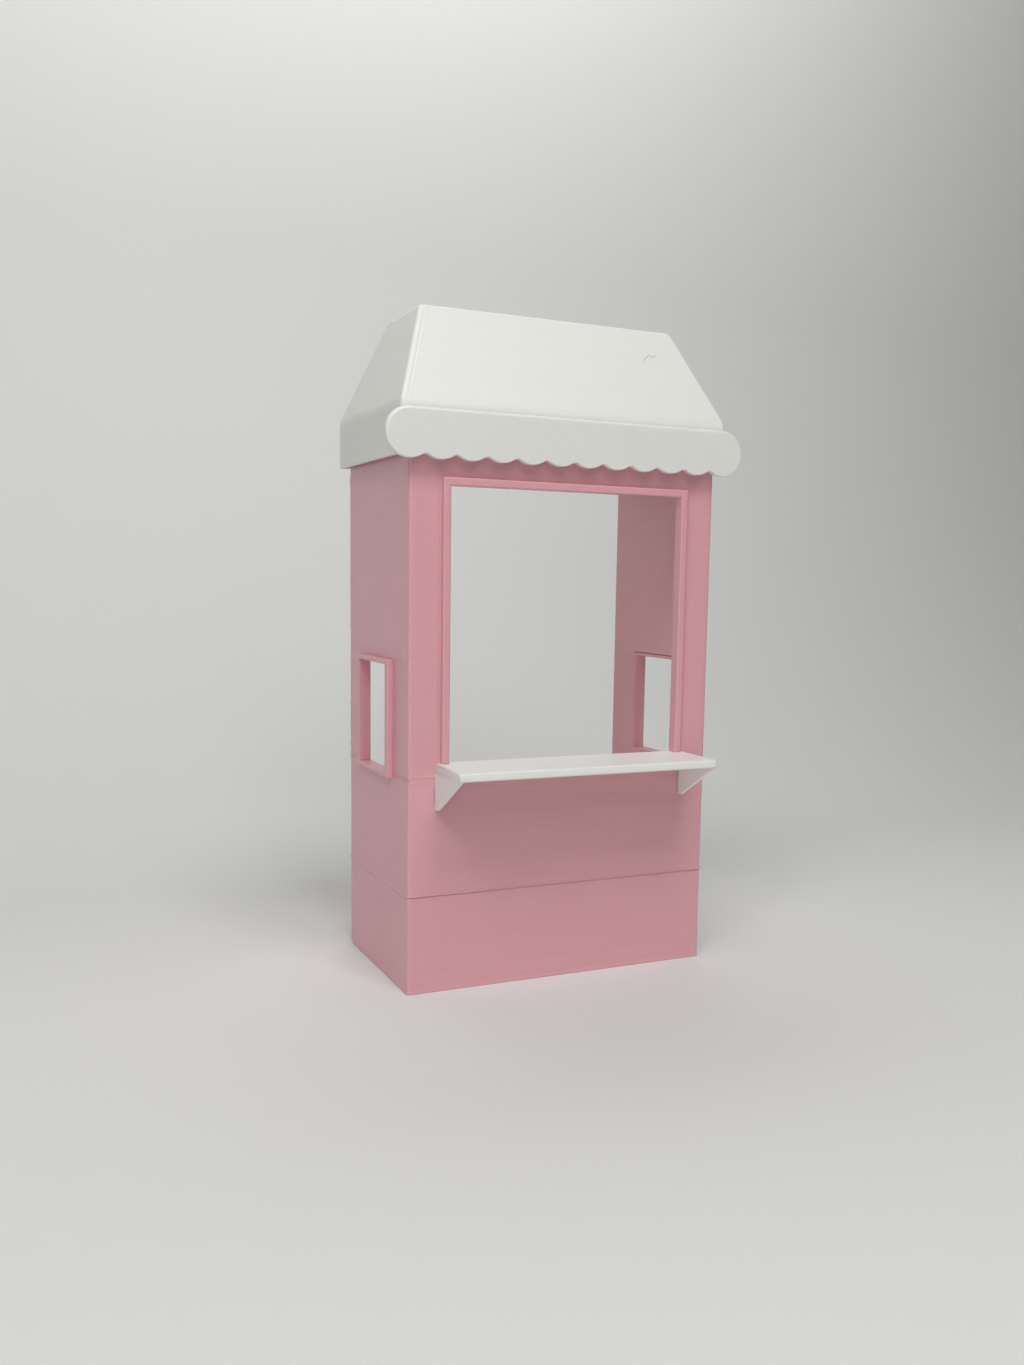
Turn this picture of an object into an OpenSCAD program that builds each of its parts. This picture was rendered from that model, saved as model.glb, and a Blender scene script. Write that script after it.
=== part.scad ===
// Miniature walk-up booth, assembled from 3D-printed pieces.
// Millimetres, +Z up, the serving window faces -Y.
// The origin is the centre of the base's footprint, on the surface that it stands on.

/* [Body] */
// Width of the body, across the front
body_w = 60; // [50:1:80]
// Depth of the body, front to back
body_d = 35; // [29:1:50]
// Thickness of the body's walls
wall_t = 1.2; // [0.8:0.1:1.6]
// Height of the base section
base_h = 17.5; // [14:0.5:25]
// Height of the lower body, between the base and the seam below the counter
lower_h = 20.5; // [17:0.5:27]
// Height of the upper body, from that seam to the top of the walls
upper_h = 60; // [50:1:75]

/* [Base and floor] */
// Thickness of the base's closed bottom
bottom_t = 1.2; // [0.8:0.1:2]
// Side of each square corner post that carries the floor deck
post_w = 4; // [3:0.5:6]
// Thickness of the floor deck
deck_t = 1.2; // [0.8:0.1:2]
// Thickness of the deck's rim
rim_t = 1.2; // [0.8:0.1:2]
// How far the rim stands up into the lower body
rim_up = 2; // [1:0.5:4]
// How far the rim hangs down into the base
rim_down = 3; // [2:0.5:5]

/* [Joining band] */
// Thickness of the band glued behind the seam
band_t = 1; // [0.8:0.1:1.6]
// How far the band reaches below the seam
band_down = 4; // [2:0.5:8]
// Gap between the band's top and the shelf's tongue
band_top_gap = 0.4; // [0.2:0.1:1]
// How far the band turns back along each side wall
band_corner = 6; // [4:0.5:8]

/* [Front window] */
// Clear width of the front window
window_w = 45.4; // [36:0.2:46]
// Clear height of the front window, above the counter's top
window_h = 47.6; // [38:0.2:48]
// How far the front frame stands proud of the wall
front_proud = 1; // [0.6:0.1:2]

/* [Side windows] */
// Clear width of a side window, along the depth
side_win_w = 15.8; // [12:0.2:18]
// Clear height of a side window
side_win_h = 19.3; // [15:0.1:23.5]
// Height of the side windows' sills above the seam
side_sill = 0.4; // [0.4:0.1:4]
// Distance from the body's front to the middle of a side window
side_win_y = 17.5; // [14:0.5:18]
// How far a side frame stands proud of the wall
side_proud = 1.2; // [0.6:0.1:2]
// Height of a side frame's upper and lower bars
side_bar_h = 0.9; // [0.9:0.1:2]

/* [Window frames] */
// Width of the front frame's bars and the side frames' upright bars
bar_w = 1.4; // [1.2:0.1:2.2]
// Thickness of the lining that goes into the wall
liner_t = 0.6; // [0.5:0.1:0.7]

/* [Counter] */
// Width of the counter shelf
shelf_w = 50.2; // [42:0.2:58]
// How far the shelf stands out from the wall
shelf_d = 12; // [10:0.5:15]
// Thickness of the shelf
shelf_t = 1.5; // [1.2:0.1:2]
// Height of the shelf's top above the seam
shelf_rise = 3; // [2.6:0.1:6]
// Thickness of each bracket
bracket_t = 0.8; // [0.8:0.1:1.6]
// Height of each bracket, below the shelf
bracket_h = 6.7; // [5:0.1:10]
// Depth of the bracket's blunt lower tip
bracket_tip = 0.8; // [0.4:0.1:1.6]
// Height of the tab that plugs each bracket into the wall
tab_h = 3; // [2:0.1:4]
// Distance from the bracket's lower tip to its tab
tab_rise = 1; // [0.5:0.1:1.5]

/* [Roof] */
// Overhang of the roof past each side wall
side_overhang = 1.8; // [1.5:0.1:4]
// Overhang of the roof past the front and the back
end_overhang = 1.1; // [1.1:0.1:3]
// Thickness of the roof's shell
roof_t = 0.8; // [0.6:0.1:0.8]
// How far the roof's skirt hangs below the top of the walls
skirt_drop = 4.5; // [4:0.5:7]
// Height of the roof's upright skirt
skirt_h = 8.5; // [8:0.5:11]
// Height of the sloping part of the roof
slope_h = 18; // [12:0.5:24]
// Width of the roof's flat top
top_w = 50; // [40:0.5:50]
// Depth of the roof's flat top
top_d = 17; // [12:0.5:20]
// Distance from the body's front to the front edge of the flat top
top_y = 9.2; // [7:0.1:11]

/* [Roof collar] */
// Thickness of the collar's plate, which rests on the walls
collar_t = 1.4; // [1:0.1:2]
// Width of the collar's plate inside the roof's skirt
collar_w = 7; // [5:0.5:8]
// How far the collar's lip drops inside the walls
lip_drop = 3.5; // [2:0.5:5]
// Thickness of the collar's lip
lip_t = 1.2; // [0.8:0.1:2]

/* [Valance] */
// Number of scallops along the valance
scallops = 12; // [10:1:13]
// Distance between neighbouring scallops
scallop_pitch = 5.55; // [5:0.05:6]
// Radius of each scallop
scallop_r = 4.2; // [3.4:0.1:4.4]
// Thickness of the valance
valance_t = 1.2; // [0.8:0.1:2]
// Height of the scallops' centres above the skirt's lower edge
valance_rise = 3.4; // [2.5:0.1:4]
// Radius of each locating peg on the valance's back
peg_r = 0.8; // [0.6:0.05:1]

/* [Clearances] */
// Gap round a glued piece that slips into another
fit_gap = 0.1; // [0.05:0.05:0.2]
// Gap between the lift-off roof and the body
lift_gap = 0.3; // [0.2:0.05:0.5]

/* [Hidden] */

pink = "pink";
white = "white";
round_fn = 96;
cut = 1;                          // overshoot of a cutting solid past the face it opens

front_y = -body_d / 2;
back_y = body_d / 2;
inner_w = body_w - 2 * wall_t;
seam_z = base_h + lower_h;
walls_top = seam_z + upper_h;

shelf_top = seam_z + shelf_rise;
shelf_bottom = shelf_top - shelf_t;
window_top = shelf_top + window_h;
front_liner_w = window_w + 2 * liner_t;

side_sill_z = seam_z + side_sill;
side_mid_y = front_y + side_win_y;
side_liner_w = side_win_w + 2 * liner_t;

bracket_x = shelf_w / 2 - bracket_t;
bracket_bottom = shelf_bottom - bracket_h;
tab_z = bracket_bottom + tab_rise;

skirt_z = walls_top - skirt_drop;
eave_z = skirt_z + skirt_h;
roof_top = eave_z + slope_h;
roof_w = body_w + 2 * side_overhang;
roof_front = front_y - end_overhang;
roof_back = back_y + end_overhang;
top_front = front_y + top_y;
top_back = top_front + top_d;

valance_z = skirt_z + valance_rise;
valance_half = (scallops - 1) / 2 * scallop_pitch;
peg_lobes = [1, 4, scallops - 5, scallops - 2];

// A box given by its lowest and highest corners
module span(low, high) {
    translate(low)
        cube(high - low);
}

// A three-sided wall, open at the back: front wall and two side walls
module open_back_walls(w, front, back, t, z0, z1) {
    difference() {
        span([-w / 2, front, z0], [w / 2, back, z1]);
        span([-w / 2 + t, front + t, z0 - cut], [w / 2 - t, back + cut, z1 + cut]);
    }
}

// A four-sided upright ring
module ring(w, front, back, t, z0, z1) {
    difference() {
        span([-w / 2, front, z0], [w / 2, back, z1]);
        span([-w / 2 + t, front + t, z0 - cut], [w / 2 - t, back - t, z1 + cut]);
    }
}

// Closed base: bottom, four walls, and a post in each corner
module base_section() {
    color(pink) {
        ring(body_w, front_y, back_y, wall_t, 0, base_h);
        span([-inner_w / 2, front_y + wall_t, 0], [inner_w / 2, back_y - wall_t, bottom_t]);
        for (side = [-1, 1], y = [front_y + wall_t, back_y - wall_t - post_w])
            translate([side * (inner_w - post_w) / 2 - post_w / 2, y, 0])
                cube([post_w, post_w, base_h - rim_down]);
    }
}

// Floor of the booth, with a rim that locates the lower body on the base
module floor_deck() {
    deck_w = inner_w - 2 * fit_gap;
    deck_front = front_y + wall_t + fit_gap;
    deck_back = back_y - wall_t - fit_gap;
    color(pink) {
        ring(deck_w, deck_front, deck_back, rim_t, base_h - rim_down, base_h + rim_up);
        span([-deck_w / 2, deck_front, base_h - deck_t], [deck_w / 2, deck_back, base_h]);
    }
}

// Slot through the front wall for one bracket's tab
module tab_slot(side) {
    slot_w = bracket_t + 2 * fit_gap;
    middle = side * (bracket_x + bracket_t / 2);
    translate([middle - slot_w / 2, front_y - cut, tab_z - fit_gap])
        cube([slot_w, wall_t + 2 * cut, tab_h + 2 * fit_gap]);
}

// Front and side walls below the counter
module lower_body() {
    color(pink)
        difference() {
            open_back_walls(body_w, front_y, back_y, wall_t, base_h, seam_z);
            for (side = [-1, 1])
                tab_slot(side);
        }
}

// Band glued to the front wall's inside, behind the seam between the lower and the upper body
module joining_band() {
    band_w = inner_w - 2 * fit_gap;
    band_front = front_y + wall_t;
    color(pink)
        open_back_walls(band_w, band_front, band_front + band_corner, band_t,
                        seam_z - band_down, shelf_bottom - band_top_gap);
}

// Front and side walls above the seam, with the three window openings
module upper_body() {
    front_cut = front_liner_w + 2 * fit_gap;
    side_cut = side_liner_w + 2 * fit_gap;
    color(pink)
        difference() {
            open_back_walls(body_w, front_y, back_y, wall_t, seam_z, walls_top);
            span([-front_cut / 2, front_y - cut, shelf_bottom],
                 [front_cut / 2, front_y + wall_t + cut, window_top + liner_t + fit_gap]);
            span([-body_w / 2 - cut, side_mid_y - side_cut / 2, side_sill_z],
                 [body_w / 2 + cut, side_mid_y + side_cut / 2, side_sill_z + side_win_h + liner_t + fit_gap]);
        }
}

// Front frame: two jambs and a head, standing on the counter, with a lining in the wall's opening
module front_window_frame() {
    bar_outer = window_w / 2 + bar_w;
    color(pink)
        difference() {
            union() {
                span([-bar_outer, front_y - front_proud, shelf_top], [bar_outer, front_y, window_top + bar_w]);
                span([-front_liner_w / 2, front_y - front_proud, shelf_top],
                     [front_liner_w / 2, front_y + wall_t, window_top + liner_t]);
            }
            span([-window_w / 2, front_y - front_proud - cut, shelf_top - cut],
                 [window_w / 2, front_y + wall_t + cut, window_top]);
        }
}

// Side frame: four bars on the wall's face and a lining on three sides of the opening
module side_window_frame(side) {
    face = body_w / 2;
    head = side_sill_z + side_win_h;
    bar_outer = side_win_w / 2 + bar_w;
    color(pink)
        mirror([side < 0 ? 1 : 0, 0, 0])
            translate([0, side_mid_y, 0])
                difference() {
                    union() {
                        span([face, -bar_outer, side_sill_z - side_bar_h],
                             [face + side_proud, bar_outer, head + side_bar_h]);
                        span([face - wall_t, -side_liner_w / 2, side_sill_z],
                             [face + side_proud, side_liner_w / 2, head + liner_t]);
                    }
                    span([face - wall_t - cut, -side_win_w / 2, side_sill_z],
                         [face + side_proud + cut, side_win_w / 2, head]);
                }
}

// Counter shelf, resting on the brackets, with a tongue that fills the wall's opening under the frame
module counter_shelf() {
    color(white) {
        span([-shelf_w / 2, front_y - shelf_d, shelf_bottom], [shelf_w / 2, front_y, shelf_top]);
        span([-front_liner_w / 2, front_y, shelf_bottom], [front_liner_w / 2, front_y + wall_t, shelf_top]);
    }
}

// Triangular bracket, flush with the shelf's end, with a tab through the wall
module counter_bracket(side) {
    left = side < 0 ? -shelf_w / 2 : bracket_x;
    color(white)
        translate([left, front_y, 0]) {
            rotate([90, 0, 90])
                linear_extrude(bracket_t)
                    polygon([
                        [0, bracket_bottom],
                        [0, shelf_bottom],
                        [-shelf_d, shelf_bottom],
                        [-bracket_tip, bracket_bottom]
                    ]);
            translate([0, 0, tab_z])
                cube([bracket_t, wall_t, tab_h]);
        }
}

// A hip roof's solid: upright sides up to the eave, then four slopes up to a flat top
module hip(w, front, back, z0, eave, flat_w, flat_front, flat_back, top) {
    intersection() {
        translate([0, back, 0])
            rotate([90, 0, 0])
                linear_extrude(back - front)
                    polygon([
                        [-w / 2, z0], [w / 2, z0], [w / 2, eave],
                        [flat_w / 2, top], [-flat_w / 2, top], [-w / 2, eave]
                    ]);
        translate([-w / 2, 0, 0])
            rotate([90, 0, 90])
                linear_extrude(w)
                    polygon([
                        [front, z0], [back, z0], [back, eave],
                        [flat_back, top], [flat_front, top], [front, eave]
                    ]);
    }
}

// Hollow roof, open below; the slopes and the flat top have the skirt's thickness
module roof_shell() {
    side_run = (roof_w - top_w) / 2;
    front_run = top_front - roof_front;
    back_run = roof_back - top_back;
    // how far inwards a slope's inner face lies at the inner top, past the outer flat's edge
    side_in = roof_t * (norm([side_run, slope_h]) - side_run) / slope_h;
    front_in = roof_t * (norm([front_run, slope_h]) - front_run) / slope_h;
    back_in = roof_t * (norm([back_run, slope_h]) - back_run) / slope_h;
    // the inner eave is lower than the outer one, so that the steepest slope keeps its thickness
    eave_in = roof_t * (norm([front_run, slope_h]) - slope_h) / front_run;
    color(white)
        difference() {
            hip(roof_w, roof_front, roof_back, skirt_z, eave_z, top_w, top_front, top_back, roof_top);
            hip(roof_w - 2 * roof_t, roof_front + roof_t, roof_back - roof_t, skirt_z - cut, eave_z - eave_in,
                top_w - 2 * side_in, top_front + front_in, top_back - back_in, roof_top - roof_t);
            for (lobe = peg_lobes)
                translate([lobe * scallop_pitch - valance_half, roof_front - cut, valance_z])
                    rotate([-90, 0, 0])
                        cylinder(h = roof_t + 2 * cut, r = peg_r + fit_gap, $fn = round_fn);
        }
}

// Collar glued inside the skirt: its plate rests on the walls, its lip drops inside them
module roof_collar() {
    plate_w = roof_w - 2 * roof_t;
    lip_w = inner_w - 2 * lift_gap;
    color(white) {
        ring(plate_w, roof_front + roof_t, roof_back - roof_t, collar_w, walls_top, walls_top + collar_t);
        ring(lip_w, front_y + wall_t + lift_gap, back_y - lift_gap, lip_t, walls_top - lip_drop, walls_top);
    }
}

// Scalloped valance: overlapping discs under a straight top edge, pegged to the skirt
module roof_valance() {
    color(white)
        translate([0, roof_front, valance_z]) {
            for (lobe = [0 : scallops - 1])
                translate([lobe * scallop_pitch - valance_half, 0, 0])
                    rotate([90, 0, 0])
                        cylinder(h = valance_t, r = scallop_r, $fn = round_fn);
            span([-valance_half, -valance_t, 0], [valance_half, 0, scallop_r]);
            for (lobe = peg_lobes)
                translate([lobe * scallop_pitch - valance_half, 0, 0])
                    rotate([-90, 0, 0])
                        cylinder(h = roof_t, r = peg_r, $fn = round_fn);
        }
}

base_section();
floor_deck();
lower_body();
joining_band();
upper_body();
front_window_frame();
side_window_frame(-1);  // side_window_frame_left
side_window_frame(1);  // side_window_frame_right
counter_shelf();
counter_bracket(-1);  // counter_bracket_left
counter_bracket(1);  // counter_bracket_right
roof_collar();
roof_shell();
roof_valance();
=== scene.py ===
import math

import bmesh
import bpy
from mathutils import Matrix, Vector


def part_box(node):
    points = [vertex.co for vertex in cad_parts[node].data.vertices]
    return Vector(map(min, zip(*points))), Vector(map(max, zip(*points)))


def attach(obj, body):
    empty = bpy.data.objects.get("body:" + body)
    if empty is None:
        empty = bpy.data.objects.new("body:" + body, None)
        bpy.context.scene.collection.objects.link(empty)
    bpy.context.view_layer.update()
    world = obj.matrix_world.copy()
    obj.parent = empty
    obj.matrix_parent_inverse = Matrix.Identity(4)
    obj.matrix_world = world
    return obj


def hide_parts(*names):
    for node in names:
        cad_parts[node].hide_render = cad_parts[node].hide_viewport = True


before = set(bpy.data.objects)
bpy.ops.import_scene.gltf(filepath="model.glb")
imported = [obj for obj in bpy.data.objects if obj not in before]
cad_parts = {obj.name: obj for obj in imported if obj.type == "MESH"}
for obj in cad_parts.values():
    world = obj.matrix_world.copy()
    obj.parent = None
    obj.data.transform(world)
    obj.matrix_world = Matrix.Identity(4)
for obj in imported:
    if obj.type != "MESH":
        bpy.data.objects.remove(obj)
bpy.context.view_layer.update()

MM = 0.001


# ---- Camera ----
# A hand-held camera stands to the booth's left and just above its counter.
# It looks slightly down, with a little roll, through a lens that is moderately wide.
camera_data = bpy.data.cameras.new("camera")
camera_data.sensor_width = 36
camera_data.lens = 32.03
camera_data.shift_x = -0.0308
camera_data.shift_y = 0.0343
camera_data.clip_start = 0.01
camera_data.clip_end = 20
camera = bpy.data.objects.new("camera", camera_data)
camera.location = (-0.0970, -0.2141, 0.0732)
camera_heading = math.radians(25.73)
camera_tilt = math.radians(-7.05)
camera_roll = math.radians(1.05)
camera.rotation_euler = (
    Matrix.Rotation(-camera_heading, 4, "Z")
    @ Matrix.Rotation(math.pi / 2 + camera_tilt, 4, "X")
    @ Matrix.Rotation(camera_roll, 4, "Z")
).to_euler()
bpy.context.scene.collection.objects.link(camera)
bpy.context.scene.camera = camera


# ---- Backdrop ----
# A sheet of pale grey card lies under the booth and curves up into a wall behind it.
# It isn't part of the object.
def scalar(tree, operation, *values):
    """A Math node fed by numbers or sockets; gives its output."""
    node = tree.nodes.new("ShaderNodeMath")
    node.operation = operation
    for socket, value in zip(node.inputs, values):
        if isinstance(value, bpy.types.NodeSocket):
            tree.links.new(value, socket)
        else:
            socket.default_value = value
    return node.outputs[0]


def vector(tree, operation, *values, output="Vector"):
    """A Vector Math node fed by vectors or sockets; gives one of its outputs."""
    node = tree.nodes.new("ShaderNodeVectorMath")
    node.operation = operation
    for socket, value in zip(node.inputs, values):
        if isinstance(value, bpy.types.NodeSocket):
            tree.links.new(value, socket)
        else:
            socket.default_value = value
    return node.outputs[output]


def noise(tree, position, scale, detail=2.0, roughness=0.5):
    """A Noise texture on a position; gives its value."""
    node = tree.nodes.new("ShaderNodeTexNoise")
    tree.links.new(position, node.inputs["Vector"])
    node.inputs["Scale"].default_value = scale
    node.inputs["Detail"].default_value = detail
    node.inputs["Roughness"].default_value = roughness
    return node.outputs["Fac"]


def tint(tree, amount, low, high):
    """A colour that goes from low to high as amount goes from 0 to 1."""
    node = tree.nodes.new("ShaderNodeMix")
    node.data_type = "RGBA"
    inputs = [s for s in node.inputs if s.enabled]
    for socket, value in zip(inputs, (amount, low, high)):
        if isinstance(value, bpy.types.NodeSocket):
            tree.links.new(value, socket)
        elif socket.type == "RGBA":
            socket.default_value = (*value, 1)
        else:
            socket.default_value = value
    return [s for s in node.outputs if s.enabled][0]


def start_material(name):
    """A new material, with its tree, its shader and its Object coordinates."""
    material = bpy.data.materials.new(name)
    material.use_nodes = True
    tree = material.node_tree
    shader = tree.nodes["Principled BSDF"]
    position = tree.nodes.new("ShaderNodeTexCoord").outputs["Object"]
    return material, tree, shader, position


def bump(tree, shader, height, strength=1.0):
    """Feeds a height in metres to the shader's normal."""
    node = tree.nodes.new("ShaderNodeBump")
    node.inputs["Strength"].default_value = strength
    node.inputs["Distance"].default_value = 1.0
    tree.links.new(height, node.inputs["Height"])
    tree.links.new(node.outputs["Normal"], shader.inputs["Normal"])


FIBRE_SCALE = 900
FIBRE_HEIGHT = 0.02 * MM
CLOUD_SCALE = 6
CARD_DULL = (0.755, 0.76, 0.748)
CARD_PALE = (0.775, 0.775, 0.762)
card, card_tree, card_shader, card_position = start_material("grey_card")
card_fibre = noise(card_tree, card_position, FIBRE_SCALE, 4)
card_cloud = noise(card_tree, card_position, CLOUD_SCALE, 2)
card_colour = tint(card_tree, card_cloud, CARD_DULL, CARD_PALE)
card_tree.links.new(card_colour, card_shader.inputs["Base Color"])
card_shader.inputs["Roughness"].default_value = 0.75
card_shader.inputs["Specular IOR Level"].default_value = 0.25
bump(card_tree, card_shader, scalar(card_tree, "MULTIPLY", card_fibre, FIBRE_HEIGHT))

CARD_HALF = 0.9
CARD_FRONT = -0.9
CARD_BEND_Y = 0.07
CARD_BEND_R = 0.20
CARD_TOP = 1.0
CARD_BEND_STEPS = 48
card_profile = [(CARD_FRONT, 0.0)]
for step in range(CARD_BEND_STEPS + 1):
    angle = math.pi / 2 * step / CARD_BEND_STEPS
    bend_y = CARD_BEND_Y + CARD_BEND_R * math.sin(angle)
    card_profile.append((bend_y, CARD_BEND_R * (1 - math.cos(angle))))
card_profile.append((CARD_BEND_Y + CARD_BEND_R, CARD_TOP))
card_mesh = bpy.data.meshes.new("backdrop")
card_mesh.from_pydata(
    [(side * CARD_HALF, y, z) for y, z in card_profile for side in (-1, 1)],
    [],
    [(2 * i, 2 * i + 1, 2 * i + 3, 2 * i + 2) for i in range(len(card_profile) - 1)],
)
card_mesh.shade_smooth()
card_mesh.materials.append(card)
backdrop = bpy.data.objects.new("backdrop", card_mesh)
bpy.context.scene.collection.objects.link(backdrop)


# ---- Lights ----
# Soft panels stand high round the booth's front, the strongest above it and on its left. A wide
# low one on the left draws the bright lines along the upright edges. One more faces the card's
# upper part, and brightens it without reaching the booth.
AIM = Vector((0, 0, 0.06))
PANEL_AWAY = 0.6
PANEL_SIDE = 0.20


def panel(name, place, facing, power, width=PANEL_SIDE, height=PANEL_SIDE):
    """A soft panel that faces a direction."""
    data = bpy.data.lights.new(name, "AREA")
    data.shape = "RECTANGLE"
    data.size = width
    data.size_y = height
    data.energy = power
    lamp = bpy.data.objects.new(name, data)
    lamp.location = place
    lamp.rotation_euler = facing.to_track_quat("-Z", "Y").to_euler()
    bpy.context.scene.collection.objects.link(lamp)


def panel_round_booth(name, heading, height, power, *sides):
    """A panel aimed at the booth; heading and height are in degrees, seen from the booth's front."""
    heading = math.radians(heading)
    height = math.radians(height)
    level = math.cos(height)
    towards = Vector((math.sin(heading) * level, -math.cos(heading) * level, math.sin(height)))
    panel(name, AIM + PANEL_AWAY * towards, -towards, power, *sides)


panel_round_booth("panel_left", -42, 50, 0.92)
panel_round_booth("panel_low_left", -38, 6, 0.36, 0.40, 0.20)
panel_round_booth("panel_front", -12, 35, 0.58)
panel_round_booth("panel_high", 2, 60, 1.16)
panel_round_booth("panel_right", 48, 58, 0.08)
panel("panel_card", Vector((0.05, 0.07, 0.60)), Vector((0, 1, 0)), 1.6)

room = bpy.data.worlds.new("room")
room.use_nodes = True
room.node_tree.nodes["Background"].inputs["Color"].default_value = (0.93, 0.95, 1.0, 1)
room.node_tree.nodes["Background"].inputs["Strength"].default_value = 0.02
bpy.context.scene.world = room
bpy.context.scene.view_settings.view_transform = "Standard"


# ---- Base section ----
# The base is a pink box with a closed bottom, printed standing, so its layers lie flat. Its foot
# spreads a little, and its rear left corner came off the printer's bed and curled up.
def start_group(name, inputs, outputs):
    """A shader node group with named inputs (name, type, default) and outputs (name, type)."""
    group = bpy.data.node_groups.new(name, "ShaderNodeTree")
    for label, kind, default in inputs:
        socket = group.interface.new_socket(name=label, in_out="INPUT", socket_type=kind)
        if default is not None:
            socket.default_value = default
    for label, kind in outputs:
        group.interface.new_socket(name=label, in_out="OUTPUT", socket_type=kind)
    entry = group.nodes.new("NodeGroupInput")
    leave = group.nodes.new("NodeGroupOutput")
    return group, entry.outputs, leave.inputs


def use_group(tree, group, values):
    """Places a group in a tree with its own values, and gives its outputs."""
    node = tree.nodes.new("ShaderNodeGroup")
    node.node_tree = group
    for label, value in values.items():
        if isinstance(value, bpy.types.NodeSocket):
            tree.links.new(value, node.inputs[label])
        else:
            node.inputs[label].default_value = value
    return node.outputs


# Printed lines: rounded beads side by side along a direction. Each stands a little proud or
# shy of its neighbours, and slow streaks run along it.
lines_group, given, result = start_group(
    "printed lines",
    [
        ("Position", "NodeSocketVector", None),
        ("Direction", "NodeSocketVector", (0, 0, 1)),
        ("Pitch", "NodeSocketFloat", 0.2 * MM),
        ("Bead", "NodeSocketFloat", 0.004 * MM),
        ("Unevenness", "NodeSocketFloat", 0.004 * MM),
    ],
    [("Height", "NodeSocketFloat"), ("Tone", "NodeSocketFloat")],
)
STREAK_SCALE = 60
TONE_SPREAD = 0.35
along = vector(lines_group, "DOT_PRODUCT", given["Position"], given["Direction"], output="Value")
count = scalar(lines_group, "DIVIDE", along, given["Pitch"])
across = scalar(lines_group, "MULTIPLY_ADD", scalar(lines_group, "FRACT", count), 2.0, -1.0)
off_middle = scalar(lines_group, "ABSOLUTE", across)
bead = scalar(lines_group, "SUBTRACT", 1.0, scalar(lines_group, "POWER", off_middle, 3.0))
dice = lines_group.nodes.new("ShaderNodeTexWhiteNoise")
dice.noise_dimensions = "1D"
lines_group.links.new(scalar(lines_group, "FLOOR", count), dice.inputs["W"])
lift = scalar(lines_group, "SUBTRACT", dice.outputs["Value"], 0.5)
step_on = vector(lines_group, "SCALE", given["Direction"])
lines_group.links.new(count, step_on.node.inputs["Scale"])
slow = vector(lines_group, "SCALE", given["Position"])
slow.node.inputs["Scale"].default_value = STREAK_SCALE
streak = noise(lines_group, vector(lines_group, "ADD", slow, step_on), 1.0, 2)
streak = scalar(lines_group, "MULTIPLY_ADD", streak, 2.0, -1.0)
wander = scalar(lines_group, "MULTIPLY", scalar(lines_group, "ADD", lift, streak), given["Unevenness"])
relief = scalar(lines_group, "MULTIPLY_ADD", bead, given["Bead"], wander)
lines_group.links.new(relief, result["Height"])
tone = scalar(lines_group, "MULTIPLY_ADD", scalar(lines_group, "ADD", lift, streak), TONE_SPREAD, 0.5)
lines_group.links.new(tone, result["Tone"])

# Ringing: the nozzle shakes after it turns a corner, and leaves ripples that fade away from it.
ringing_group, given, result = start_group(
    "corner ringing",
    [
        ("Distance", "NodeSocketFloat", 0.0),
        ("Spacing", "NodeSocketFloat", 1.5 * MM),
        ("Reach", "NodeSocketFloat", 2.5 * MM),
        ("Depth", "NodeSocketFloat", 0.01 * MM),
    ],
    [("Height", "NodeSocketFloat")],
)
turns = scalar(ringing_group, "DIVIDE", given["Distance"], given["Spacing"])
wave = scalar(ringing_group, "COSINE", scalar(ringing_group, "MULTIPLY", turns, 2 * math.pi))
reaches = scalar(ringing_group, "DIVIDE", given["Distance"], given["Reach"])
fade = scalar(ringing_group, "EXPONENT", scalar(ringing_group, "MULTIPLY", reaches, -1.0))
ripple = scalar(ringing_group, "MULTIPLY", scalar(ringing_group, "MULTIPLY", wave, fade), given["Depth"])
ringing_group.links.new(ripple, result["Height"])

# Handling: faint cloudy smears in the gloss, and a few tiny dark specks of burnt filament.
handling_group, given, result = start_group(
    "handling marks",
    [
        ("Position", "NodeSocketVector", None),
        ("Speck size", "NodeSocketFloat", 0.07),
        ("Specks", "NodeSocketFloat", 0.03),
    ],
    [("Smear", "NodeSocketFloat"), ("Speck", "NodeSocketFloat")],
)
SMEAR_SCALE = 180
SPECK_CELLS = 330
SPECK_EDGE_SCALE = 6000
SPECK_RAGGED = 0.08
handling_group.links.new(noise(handling_group, given["Position"], SMEAR_SCALE, 3, 0.6), result["Smear"])
cells = handling_group.nodes.new("ShaderNodeTexVoronoi")
cells.inputs["Scale"].default_value = SPECK_CELLS
wobble = noise(handling_group, given["Position"], SPECK_EDGE_SCALE, 2)
handling_group.links.new(given["Position"], cells.inputs["Vector"])
spot = scalar(handling_group, "MULTIPLY_ADD", wobble, SPECK_RAGGED, cells.outputs["Distance"])
near = scalar(handling_group, "LESS_THAN", spot, given["Speck size"])
draw = handling_group.nodes.new("ShaderNodeTexWhiteNoise")
handling_group.links.new(cells.outputs["Position"], draw.inputs["Vector"])
chosen = scalar(handling_group, "LESS_THAN", draw.outputs["Value"], given["Specks"])
handling_group.links.new(scalar(handling_group, "MULTIPLY", near, chosen), result["Speck"])

base_low, base_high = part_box("base_section")
LAYER = 0.2 * MM
GLOSS_SPREAD = 0.16


def dress(tree, shader, position, height, tone, colours, roughness, specks=0.03):
    """The colour, gloss and relief that all the printed pieces share; colours are dull, pale and speck."""
    handled = use_group(tree, handling_group, {"Position": position, "Specks": specks})
    colour = tint(tree, tone, colours[0], colours[1])
    colour = tint(tree, handled["Speck"], colour, colours[2])
    tree.links.new(colour, shader.inputs["Base Color"])
    smoothest = roughness - GLOSS_SPREAD / 2
    uneven = scalar(tree, "MULTIPLY_ADD", handled["Smear"], GLOSS_SPREAD, smoothest)
    tree.links.new(uneven, shader.inputs["Roughness"])
    bump(tree, shader, height)


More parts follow.
